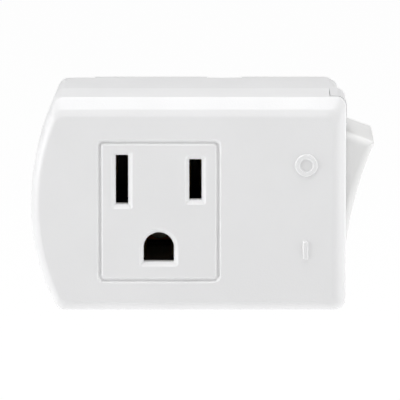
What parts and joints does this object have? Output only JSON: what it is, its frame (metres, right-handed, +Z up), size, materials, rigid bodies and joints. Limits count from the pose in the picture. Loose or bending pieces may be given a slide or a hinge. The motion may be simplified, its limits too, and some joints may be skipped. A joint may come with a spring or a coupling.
{
  "type": "switched outlet adapter",
  "caption": "White plug-in adapter with a grounded outlet in its front face and a rocker switch on its right side.",
  "frame": {"origin": "midway between the two flat blades, on the face that meets the wall", "axes": "+X right seen from the front, +Y into the wall along the blades and the ground pin, +Z up"},
  "size_m": [0.0599, 0.0525, 0.0373],
  "materials": {
    "case_plastic": "satin",
    "rocker_plastic": "semi-gloss",
    "inner_nylon": "matte",
    "switch_nylon": "matte",
    "contact_brass": "satin",
    "plated_brass": "satin",
    "strap_copper": "satin",
    "rivet_steel": "satin",
    "spring_steel": "satin",
    "contact_silver": "satin",
    "screw_steel": "zinc plated"
  },
  "bodies": {
    "housing": {"front_cover": "case_plastic", "rear_cover": "case_plastic", "contact_carrier": "inner_nylon", "blade_retainer": "inner_nylon", "neutral_contact": "contact_brass", "line_contact": "contact_brass", "ground_contact": "contact_brass", "neutral_blade": "plated_brass", "line_blade": "plated_brass", "ground_pin": "plated_brass", "neutral_strap": "strap_copper", "line_strap": "strap_copper", "load_strap": "strap_copper", "ground_strap": "strap_copper", "strap_rivets": "rivet_steel", "switch_frame": "switch_nylon", "fulcrum_terminal": "contact_brass", "load_terminal": "contact_brass", "fixed_contact": "contact_silver", "case_screws": "screw_steel"},
    "rocker": {"rocker": "rocker_plastic", "plunger_spring": "spring_steel"},
    "plunger": {"plunger": "inner_nylon"},
    "lever": {"contact_lever": "contact_brass", "moving_contact": "contact_silver"}
  },
  "joints": [
    {"name": "rocker_pivot", "type": "hinge", "parent": "housing", "child": "rocker", "pos_m": [0.02675, -0.01435, -0.0048], "axis": [0, 1, 0], "range_deg": [-26, 0]},
    {"name": "lever_pivot", "type": "hinge", "parent": "housing", "child": "lever", "pos_m": [0.017, -0.01435, -0.0048], "axis": [0, 1, 0], "range_deg": [0, 13]},
    {"name": "plunger_slide", "type": "slide", "parent": "rocker", "child": "plunger", "axis": [0.9744, 0, -0.225], "range_m": [0, 0.0006], "stiffness_N_per_m": 300, "springref_m": -0.001, "deforming": ["plunger_spring"]}
  ],
  "couplings": [
    {"joint": "lever_pivot", "follows": "rocker_pivot", "ratio": -0.5}
  ]
}
